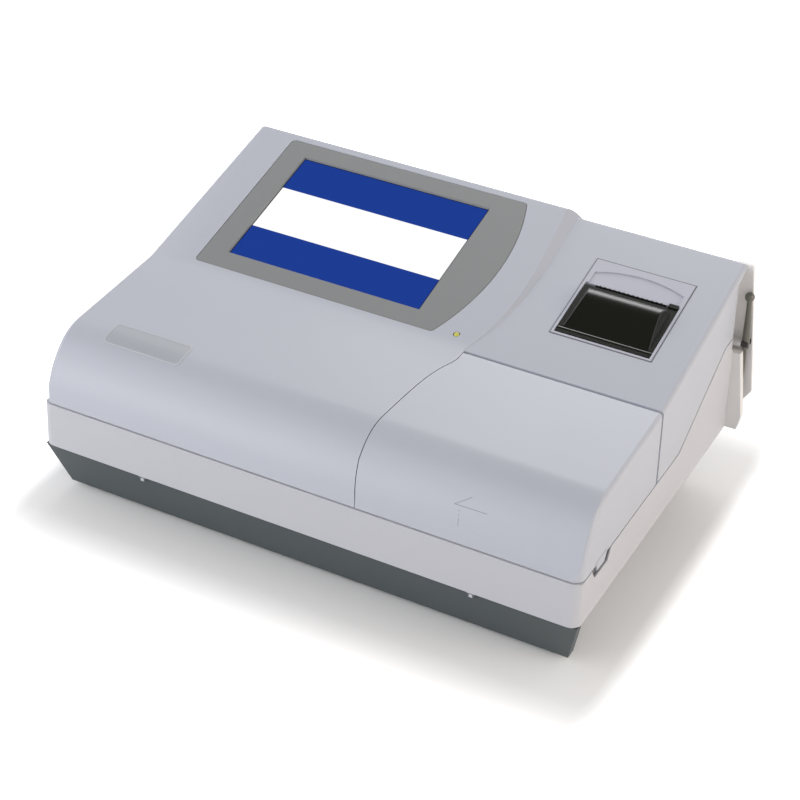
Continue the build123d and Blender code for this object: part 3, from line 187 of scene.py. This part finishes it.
weld_grid = 0.000002            # corners this close are joined
sharp_edge = math.radians(24.0)
wall_rise = 0.6                 # a face is a wall while its normal points up or down by less


def smooth_copy(name, finish, body, inside=None):
    """The CAD node with its loose facets joined, rounded faces shaded smooth and edges sharp.
    inside: a box, a middle and a finish for the walls in that box that face the middle."""
    source = nodes[name].data
    points = np.empty(len(source.vertices) * 3)
    source.vertices.foreach_get("co", points)
    corners = np.empty(len(source.loops), dtype=np.int64)
    source.loops.foreach_get("vertex_index", corners)
    points = points.reshape(-1, 3)
    cells = np.round(points / weld_grid).astype(np.int64)
    first, joined = np.unique(cells, axis=0, return_index=True, return_inverse=True)[1:]
    points = points[first]
    faces = joined.reshape(-1)[corners].reshape(-1, 3)
    whole = (faces[:, 0] != faces[:, 1]) & (faces[:, 1] != faces[:, 2]) & (faces[:, 2] != faces[:, 0])
    faces = faces[whole]
    mesh = bpy.data.meshes.new(name + "_skin")
    mesh.from_pydata(points, [], faces)
    mesh.materials.append(finish.material)
    if inside:
        (low, high), middle, dark = inside
        three = points[faces]
        centre = three.mean(axis=1)
        normal = np.cross(three[:, 1] - three[:, 0], three[:, 2] - three[:, 0])
        normal /= np.maximum(np.linalg.norm(normal, axis=1), 1e-12)[:, None]
        facing = ((np.array(middle) - centre)[:, :2] * normal[:, :2]).sum(axis=1) > 0.0
        within = (centre > low).all(axis=1) & (centre < high).all(axis=1)
        wall = facing & within & (np.abs(normal[:, 2]) < wall_rise)
        mesh.materials.append(dark.material)
        mesh.polygons.foreach_set("material_index", wall.astype(np.int32))
    mesh.shade_smooth()
    mesh.set_sharp_from_angle(angle=sharp_edge)
    copy = bpy.data.objects.new(name + "_skin", mesh)
    bpy.context.scene.collection.objects.link(copy)
    weight = copy.modifiers.new("flat faces lead", "WEIGHTED_NORMAL")
    weight.keep_sharp = True
    weight.weight = 100
    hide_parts(name)
    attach(copy, body)


cover_grey = moulded("cover plastic", (0.465, 0.485, 0.545), (0.445, 0.465, 0.525), 0.4)
# the recess for the stylus gets painted light: it is tinted paler than the cover, and the tint fades out
# towards its top
recess_floor, recess_front, recess_top, recess_fade = 0.2098, 0.1428, 0.176, 0.008
recess_edge = 0.0003
recess_painted_light = (0.72, 0.71, 0.72)
recess_light_share = 0.8
cover_recess_light = cover_grey.axis("X").over(recess_floor, recess_edge)
cover_recess_light = cover_recess_light * cover_grey.axis("Y").over(recess_front, recess_edge)
cover_recess_light = cover_recess_light * (1.0 - cover_grey.axis("Z").over(recess_top, recess_fade))
cover_grey.tint(cover_recess_light * recess_light_share, recess_painted_light)
# the walls round the door's opening are painted black as painted shade, so that the gap round the door reads
# dark
gap_painted_shade = moulded("painted gap shade", (0.02, 0.018, 0.016), (0.015, 0.014, 0.013), 0.6)
opening_low = (-0.03, -0.161, 0.084)
opening_high = (0.2225, -0.02, 0.156)
opening_middle = (0.13, -0.1, 0.12)
door_walls = (opening_low, opening_high), opening_middle, gap_painted_shade
smooth_copy("upper_cover", cover_grey, "case", inside=door_walls)

# ---------------------------------------------------------------- plate door
# The same moulding plastic as the cover.  It swings up on two steel pins in a steel bracket.  A fine
# broken arrow is printed on its front.
door_grey = moulded("door plastic", (0.465, 0.485, 0.545), (0.445, 0.465, 0.525), 0.4)
mark_width = 0.0005
mark_share = 0.6
# ends of the strokes as X and height Z: two barbs, then the dashes of the stem
arrow_strokes = (
    ((0.1173, 0.1143), (0.1290, 0.1217)),
    ((0.1173, 0.1143), (0.1431, 0.1146)),
    ((0.1218, 0.1118), (0.1219, 0.1104)),
    ((0.1223, 0.1084), (0.1224, 0.1070)),
    ((0.1228, 0.1056), (0.1234, 0.0998)),
)
across = door_grey.axis("X")
height = door_grey.axis("Z")
ink = 0.0
for (start_x, start_z), (end_x, end_z) in arrow_strokes:
    reach = math.hypot(end_x - start_x, end_z - start_z)
    step_x = (end_x - start_x) / reach
    step_z = (end_z - start_z) / reach
    along = (across - start_x) * step_x + (height - start_z) * step_z
    aside = (across - start_x) * step_z - (height - start_z) * step_x
    stroke = along.over(0.0, mark_width) * (1.0 - along.over(reach, mark_width))
    ink = stroke * (1.0 - aside.size().over(mark_width / 2, mark_width / 2)) + ink
door_grey.tint(ink * mark_share, (0.1, 0.1, 0.11))
smooth_copy("plate_door", door_grey, "door")

# ---------------------------------------------------------------- nameplate
# A bare plate with a thin raised rim, pressed from clear-coated aluminium foil and stuck on the
# brow of the nose at the left.
plate_middle = -0.1656
plate_half = 0.035
plate_start = 0.0964            # distance from the crease, down the nose
plate_end = 0.1205
plate_corner = 0.004
nose_fall = math.radians(4.38)
nose_run = 0.1048               # straight part of the nose's top
brow_radius = 0.038
crease = (-0.0149, 0.1505)      # Y and Z of the edge where the nose meets the slopes
skirt_lift = -0.0004            # of the plate's edge, which is sunk in the cover
step_lift = 0.0003
rim_lift = 0.00045
field_lift = 0.00025
rim_insets = (0.0, 0.0, 0.0003, 0.0008, 0.0011)
field_insets = (0.0014, 0.004, 0.006, 0.008, 0.01, 0.01204)
side_points = 24
corner_points = 8


def nose_surface(distance, lift):
    """Y and Z on the nose's side outline: a straight run down from the crease, then the brow's
    arc that starts along it; lifted along the outward normal."""
    turn = nose_fall + np.maximum(distance - nose_run, 0.0) / brow_radius
    run = np.minimum(distance, nose_run)
    end_y = crease[0] - run * math.cos(nose_fall)
    end_z = crease[1] - run * math.sin(nose_fall)
    centre_y = end_y + brow_radius * math.sin(nose_fall)
    centre_z = end_z - brow_radius * math.cos(nose_fall)
    radius = brow_radius + lift
    return centre_y - radius * np.sin(turn), centre_z + radius * np.cos(turn)


def nameplate():
    """Rings from a rounded rectangle inwards to its middle line.  Every outline point is a point of
    the core rectangle plus a corner radius; a ring's inset eats the radius first, then the core.
    Each ring has its own lift, so the plate has a sunk skirt, a raised rim and a flat field."""
    insets = rim_insets + field_insets
    rim_lifts = (skirt_lift, step_lift, rim_lift, rim_lift, step_lift)
    lifts = np.array(rim_lifts + (field_lift,) * len(field_insets))[:, None]
    core_x = plate_half - plate_corner
    core_y = (plate_end - plate_start) / 2 - plate_corner
    quarter = math.pi / 2
    run = np.linspace(-1.0, 1.0, side_points, endpoint=False)
    bend = np.linspace(0.0, quarter, corner_points, endpoint=False)
    side = np.ones_like(run)
    corner = np.ones_like(bend)
    share_x = np.concatenate((side, corner, -run, -corner, -side, -corner, run, corner))
    share_y = np.concatenate((run, corner, side, corner, -run, -corner, -side, -corner))
    centre_x = share_x * core_x
    centre_y = share_y * core_y
    way = np.concatenate([turned + quarter * turns for turns in range(4) for turned in (side * 0.0, bend)])
    plan_x = []
    plan_y = []
    for inset in insets:
        radius = max(plate_corner - inset, 0.0)
        eaten = max(inset - plate_corner, 0.0)
        left_x = core_x - eaten
        left_y = max(core_y - eaten, 0.0)
        plan_x.append(np.clip(centre_x, -left_x, left_x) + radius * np.cos(way))
        plan_y.append(np.clip(centre_y, -left_y, left_y) + radius * np.sin(way))
    plan_x = np.array(plan_x)
    plan_y = np.array(plan_y)
    y, z = nose_surface((plate_start + plate_end) / 2 - plan_y, lifts)
    points = np.stack((plate_middle + plan_x, y, z), axis=-1).reshape(-1, 3)
    count = plan_x.shape[1]
    rows, columns = np.meshgrid(np.arange(len(insets) - 1), np.arange(count), indexing="ij")
    after = (columns + 1) % count
    quads = np.stack((rows * count + columns, rows * count + after, (rows + 1) * count + after,
                      (rows + 1) * count + columns), axis=-1).reshape(-1, 4)
    mesh = bpy.data.meshes.new("nameplate")
    mesh.from_pydata(points, [], quads)
    rim = mesh.attributes.new("rim", "FLOAT", "POINT")
    raised = ((lifts > step_lift) * np.ones_like(plan_x)).reshape(-1)
    rim.data.foreach_set("value", raised.astype(np.float32))
    mesh.shade_smooth()
    return mesh


foil = moulded("plate foil", (0.4, 0.42, 0.455), (0.385, 0.405, 0.44), 0.3, 1400.0, 0.00001)
# the raised rim gets a painted highlight: it is tinted lighter than the field
rim_share = foil.node("ShaderNodeAttribute", {"attribute_name": "rim"}, {}, "Fac")
rim_highlight_share = 0.8
foil.tint(rim_share * rim_highlight_share, (0.56, 0.57, 0.6))
plate_mesh = nameplate()
plate_mesh.materials.append(foil.material)
plate_object = bpy.data.objects.new("nameplate", plate_mesh)
bpy.context.scene.collection.objects.link(plate_object)
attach(plate_object, "case")

# ---------------------------------------------------------------- lower case
# The lower half of the shell: the same plastic in a paler grey.  Screws that come up through the
# base pan hold it down.
case_grey = moulded("case plastic", (0.505, 0.51, 0.55), (0.485, 0.49, 0.53), 0.42)
case_across = case_grey.axis("X")
along_side = case_grey.axis("Y")
side_height = case_grey.axis("Z")
# the finger notch under the door's tab gets painted shade
notch_front, notch_back, notch_floor, notch_soft = -0.145, -0.107, 0.0765, 0.001
notch_inside, notch_outside, notch_edge = 0.2195, 0.2222, 0.0004
notch_shade_share = 0.75
notch_painted_shade = along_side.over(notch_front, notch_soft) * (1.0 - along_side.over(notch_back, notch_soft))
notch_painted_shade = notch_painted_shade * side_height.over(notch_floor, notch_soft)
notch_painted_shade = notch_painted_shade * (1.0 - case_across.over(notch_outside, notch_edge))
notch_painted_shade = notch_painted_shade * case_across.over(notch_inside, notch_edge)
case_grey.tint(notch_painted_shade * notch_shade_share, (0.06, 0.058, 0.055))
# the painted light of the stylus recess goes on down the case in the same pale tint
case_recess_front = 0.1474
case_recess_light = case_across.over(recess_floor, recess_edge) * along_side.over(case_recess_front, recess_edge)
case_grey.tint(case_recess_light * recess_light_share, recess_painted_light)
# the two tongues over the pan's front are painted like the pan, bar a small pale dot on each
tongue_left, tongue_right, tongue_height, tongue_root = -0.1457, 0.1395, 0.0452, 0.0472
dot_radius, dot_soft, root_soft = 0.0014, 0.0004, 0.0002
pan_colour = (0.06, 0.076, 0.082)
dot_aside = (case_across - tongue_left).size().maths("MINIMUM", (case_across - tongue_right).size())
dot_above = (side_height - tongue_height).size()
bare = 1.0 - dot_aside.maths("MAXIMUM", dot_above).over(dot_radius, dot_soft)
case_grey.tint((1.0 - side_height.over(tongue_root, root_soft)) * (1.0 - bare), pan_colour)
smooth_copy("lower_case", case_grey, "case")

# ---------------------------------------------------------------- base pan, feet and screws
# Dark slate-grey moulded tray with a wide raked fascia.  Rubber feet and steel screws sit below it;
# the steel and rubber parts of the inner works share their finishes.
base_grey = moulded("base plastic", pan_colour, (0.052, 0.066, 0.072), 0.5)
smooth_copy("base_pan", base_grey, "case")
rubber = moulded("black rubber", (0.02, 0.02, 0.021), (0.028, 0.028, 0.029), 0.7, 500.0)
paint(["rubber_feet", "drive_belt", "platen_roller", "fibre_bundle"], rubber)


def metal(name, colour, shade, roughness):
    """Bare metal with a fine cloudy grain in its colour and roughness."""
    spread = 0.16               # of the roughness, round its middle
    finish = Finish(name)
    grain = finish.noise(260.0, 3.0)
    finish.set(
        Base_Color=finish.blend(grain, colour, shade),
        Roughness=grain * spread + (roughness - spread / 2),
        Metallic=1.0,
    )
    return finish


steel = metal("steel", (0.56, 0.56, 0.57), (0.5, 0.5, 0.51), 0.32)
paint(["case_screws", "deck_screws", "chassis_deck", "door_hinge_bracket", "door_hinge_pins", "guide_rails",
       "idler_post", "motor_shaft", "filter_shaft", "board_standoffs", "inlet_pins", "data_ports",
       "lcd_module", "platen_shaft"], steel)
dark_steel = metal("dark steel", (0.035, 0.035, 0.036), (0.05, 0.05, 0.05), 0.5)
paint(["tear_bar", "thermal_head"], dark_steel)

# ---------------------------------------------------------------- inner works
# Aluminium brackets and blocks, black-anodised optics, a green circuit board, coated glass and
# dark moulded parts.  Most sit on a steel deck inside the case, some in its rear wall.
aluminium = metal("aluminium", (0.66, 0.66, 0.67), (0.6, 0.6, 0.61), 0.4)
paint(["rail_supports", "belt_clamp", "drive_pulley", "idler_pulley", "filter_bracket", "head_bridge",
       "power_supply"], aluminium)
anodised = metal("black anodised aluminium", (0.03, 0.03, 0.032), (0.045, 0.045, 0.047), 0.45)
paint(["carriage_motor", "filter_motor", "lamp_house", "light_guide_block", "detector_head", "filter_wheel"],
      anodised)
bronze = metal("sintered bronze", (0.5, 0.33, 0.14), (0.42, 0.27, 0.1), 0.45)
paint(["carriage_bushes"], bronze)
black_plastic = moulded("black plastic", (0.018, 0.018, 0.02), (0.024, 0.024, 0.026), 0.4)
paint(["plate_chamber", "plate_carriage", "fan_frame", "fan_rotor", "mains_inlet", "switch_housing",
       "power_rocker"], black_plastic)
board_green = moulded("solder resist", (0.012, 0.12, 0.05), (0.02, 0.16, 0.07), 0.3, 200.0)
paint(["main_board"], board_green)
coated_glass = moulded("coated glass", (0.16, 0.2, 0.4), (0.32, 0.2, 0.34), 0.08, 100.0, 0.0)
paint(["interference_filters", "channel_lenses", "halogen_lamp"], coated_glass)

# ---------------------------------------------------------------- stylus and its holder
# A moulded wing and post fill the case's right rear corner; a pale clip, its open end painted dark as
# painted shade, grips a turned plastic stylus with a ball at its top.
holder_grey = moulded("holder plastic", (0.74, 0.73, 0.73), (0.72, 0.71, 0.71), 0.42)
smooth_copy("stylus_holder", holder_grey, "case")
pen_grey = moulded("stylus plastic", (0.13, 0.13, 0.11), (0.115, 0.115, 0.098), 0.35)
smooth_copy("stylus", pen_grey, "pen")
clip_grey = moulded("clip plastic", (0.62, 0.61, 0.61), (0.6, 0.59, 0.59), 0.42)
clip_shade_from = 0.2255              # X where the clip's dark end starts
# the clip's open end is painted dark as painted shade, from this X on
clip_grey.tint(clip_grey.axis("X").over(clip_shade_from, 0.0006), (0.03, 0.03, 0.028))
smooth_copy("stylus_clip", clip_grey, "case")

# ---------------------------------------------------------------- display
# Warm mid-grey bezel let into the slope, a resistive touch panel behind it and a lit liquid
# crystal screen that shows plain blue and white bands.
bezel_grey = moulded("bezel plastic", (0.235, 0.243, 0.245), (0.222, 0.23, 0.232), 0.4)
smooth_copy("display_bezel", bezel_grey, "case")
slope_top = (0.165, 0.1995)     # Y and Z of the slope's upper edge, at the rear
slope = math.atan2(slope_top[1] - crease[1], slope_top[0] - crease[0])
screen = Finish("lit screen")
up_slope = (screen.axis("Y") - crease[0]) * math.cos(slope)
up_slope = up_slope + (screen.axis("Z") - crease[1]) * math.sin(slope)
band_edge = 0.0004
band_low, band_high = 0.066, 0.118      # the white band's edges, up the slope from the crease
white_band = up_slope.over(band_low, band_edge) - up_slope.over(band_high, band_edge)
screen_blue = (0.011, 0.043, 0.27)
picture = screen.blend(white_band, screen_blue, (1.0, 1.0, 1.0))
lit_middle = (-0.08717, 0.0933)
lit_half = (0.0871, 0.0643)     # the lit area stops 0.8 mm short of the window's edge
across_lit = (screen.axis("X") - lit_middle[0]).size().over(lit_half[0], band_edge)
along_lit = (up_slope - lit_middle[1]).size().over(lit_half[1], band_edge)
picture = screen.blend(across_lit.maths("MAXIMUM", along_lit), picture, (0.012, 0.013, 0.016))
screen.set(Base_Color=screen.blend(white_band, (0.002, 0.004, 0.02), (0.02, 0.02, 0.02)), Roughness=0.2,
           Emission_Color=picture, Emission_Strength=1.0, Specular_IOR_Level=0.0)
paint(["touch_glass"], screen)
lamp_lens = moulded("lamp lens", (0.62, 0.6, 0.12), (0.55, 0.56, 0.1), 0.2)
paint(["power_led"], lamp_lens)

# ---------------------------------------------------------------- receipt printer
# Light grey moulded frame with a glossy black hinged lid over a roll of thermal paper.
printer_grey = moulded("printer plastic", (0.465, 0.475, 0.545), (0.445, 0.455, 0.525), 0.4)
panel_top = (0.165, 0.1936)     # Y and Z of the printer panel's upper edge, at the rear
panel_slope = math.atan2(panel_top[1] - crease[1], panel_top[0] - crease[0])
panel_run = (printer_grey.axis("Y") - crease[0]) * math.cos(panel_slope)
panel_run = panel_run + (printer_grey.axis("Z") - crease[1]) * math.sin(panel_slope)
# a thin dark line of painted shade follows the frame's edge, where the gap round it lies
frame_middle = (0.14838, 0.0933)
frame_half = (0.04285, 0.0478)
line_width = 0.0008
line_edge = 0.0002
gap_shade_share = 0.85
from_middle = (printer_grey.axis("X") - frame_middle[0]).size()
from_centre = (panel_run - frame_middle[1]).size()
inside_across = 1.0 - from_middle.over(frame_half[0] - line_width, line_edge)
inside_along = 1.0 - from_centre.over(frame_half[1] - line_width, line_edge)
frame_gap_shade = 1.0 - inside_across * inside_along
printer_grey.tint(frame_gap_shade * gap_shade_share, (0.09, 0.09, 0.1))
smooth_copy("printer_frame", printer_grey, "case")
lid_black = Finish("glossy lid")
lid_cloud = lid_black.noise(30.0)
lid_black.set(Base_Color=lid_black.blend(lid_cloud, (0.003, 0.0035, 0.001), (0.005, 0.0055, 0.002)),
              Roughness=0.26, Specular_IOR_Level=0.5)
smooth_copy("printer_lid", lid_black, "lid")
paint(["lid_release"], lid_black)
paper = moulded("thermal paper", (0.8, 0.79, 0.76), (0.76, 0.75, 0.72), 0.6)
paint(["paper_roll", "paper_core"], paper)

# ---------------------------------------------------------------- studio
# A white sheet on the bench inside a ring of white cloth that glows softly, under a dim sky, with
# a warm soft box on the right and weaker ones on the left, in front and behind.
def glow(finish, level):
    """The light a stage cloth gives off: its own level on the part, white to the camera, also
    through glass."""
    by_camera = finish.node("ShaderNodeLightPath", {}, {}, "Is Camera Ray")
    through_glass = finish.node("ShaderNodeLightPath", {}, {}, "Is Transmission Ray")
    seen = by_camera.maths("MAXIMUM", through_glass)
    finish.set(Emission_Color=finish.blend(seen, level, (1.0, 1.0, 1.0)), Emission_Strength=1.0)


def on_stage(name, points, faces, finish):
    mesh = bpy.data.meshes.new(name)
    mesh.from_pydata(points, [], faces)
    mesh.materials.append(finish.material)
    cloth = bpy.data.objects.new(name, mesh)
    bpy.context.scene.collection.objects.link(cloth)


sheet_half = 8.0
sheet = Finish("white sheet")
# the sheet is lifted towards white for the camera, bar close to the part, where its shadow falls
part_half = (0.238, 0.165)
near_part = 0.06
near_soft = 1.6 * near_part
side_pull = 9.0                 # a distance beside the part counts three times as far, so nine by its square
beside = (sheet.axis("X").size() - part_half[0]).maths("MAXIMUM", 0.0)
before = (sheet.axis("Y").size() - part_half[1]).maths("MAXIMUM", 0.0)
away = (beside * beside * side_pull + before * before).maths("POWER", 0.5).over(near_part, near_soft)
seen = sheet.node("ShaderNodeLightPath", {}, {}, "Is Camera Ray")
sheet.set(Base_Color=sheet.blend(sheet.noise(2.0), (0.93, 0.93, 0.93), (0.95, 0.95, 0.95)), Roughness=0.9,
          Specular_IOR_Level=0.0, Emission_Strength=1.0,
          Emission_Color=sheet.blend(seen * away, (0.0, 0.0, 0.0), (0.8, 0.8, 0.8)))
on_stage("floor", [(-sheet_half, -sheet_half, 0), (sheet_half, -sheet_half, 0), (sheet_half, sheet_half, 0),
                   (-sheet_half, sheet_half, 0)], [(0, 1, 2, 3)], sheet)
ring_radius, ring_low, ring_high, ring_faces = 5.0, 1.6, 5.5, 96
ring_turn = np.linspace(0.0, 2.0 * math.pi, ring_faces, endpoint=False)
ring_plan = ring_radius * np.stack((np.cos(ring_turn), np.sin(ring_turn)), axis=-1)
ring_plan = np.tile(ring_plan, (2, 1))
ring_points = np.column_stack((ring_plan, np.repeat((ring_low, ring_high), ring_faces)))
column = np.arange(ring_faces)
after = (column + 1) % ring_faces
ring_quads = np.stack((column, after, after + ring_faces, column + ring_faces), axis=-1)
wall_cloth = Finish("white cloth")
wall_cloth.set(Base_Color=(0.0, 0.0, 0.0))
wall_light = (1.24, 1.24, 1.27)
glow(wall_cloth, wall_light)
on_stage("wall", ring_points, ring_quads, wall_cloth)


lamp_aim = (0.0, 0.0, 0.1)


def lamp(name, place, size, power, colour=(1.0, 1.0, 1.0)):
    """A square soft box that points at the part's middle."""
    light = bpy.data.lights.new(name, "AREA")
    light.shape = "SQUARE"
    light.size = size
    light.energy = power
    light.color = colour
    holder = bpy.data.objects.new(name, light)
    holder.location = place
    holder.rotation_euler = (Vector(lamp_aim) - Vector(place)).to_track_quat("-Z", "Y").to_euler()
    bpy.context.scene.collection.objects.link(holder)


lamp("rear", place=(-0.4, 1.8, 1.3), size=1.0, power=12.0)
lamp("right", place=(2.3, 0.0, 0.7), size=1.2, power=23.5, colour=(1.0, 0.85, 0.66))
lamp("front left", place=(-1.2, -2.0, 0.4), size=1.2, power=18.0)
lamp("left", place=(-2.2, -0.6, 0.9), size=1.2, power=13.0)
sky_level = 0.15                # what the sky sheds on the part; the camera sees it white
world = bpy.data.worlds.new("studio")
world.use_nodes = True
sky = world.node_tree.nodes.new("ShaderNodeMix")
sky.data_type = "RGBA"
sky_dim, sky_seen = (socket for socket in sky.inputs if socket.type == "RGBA")
sky_dim.default_value = (sky_level, sky_level, sky_level, 1.0)
sky_seen.default_value = (1.0, 1.0, 1.0, 1.0)
ray = world.node_tree.nodes.new("ShaderNodeLightPath")
world.node_tree.links.new(ray.outputs["Is Camera Ray"], sky.inputs[0])
world.node_tree.links.new(sky.outputs[2], world.node_tree.nodes["Background"].inputs["Color"])
bpy.context.scene.world = world
bpy.context.scene.view_settings.view_transform = "Standard"
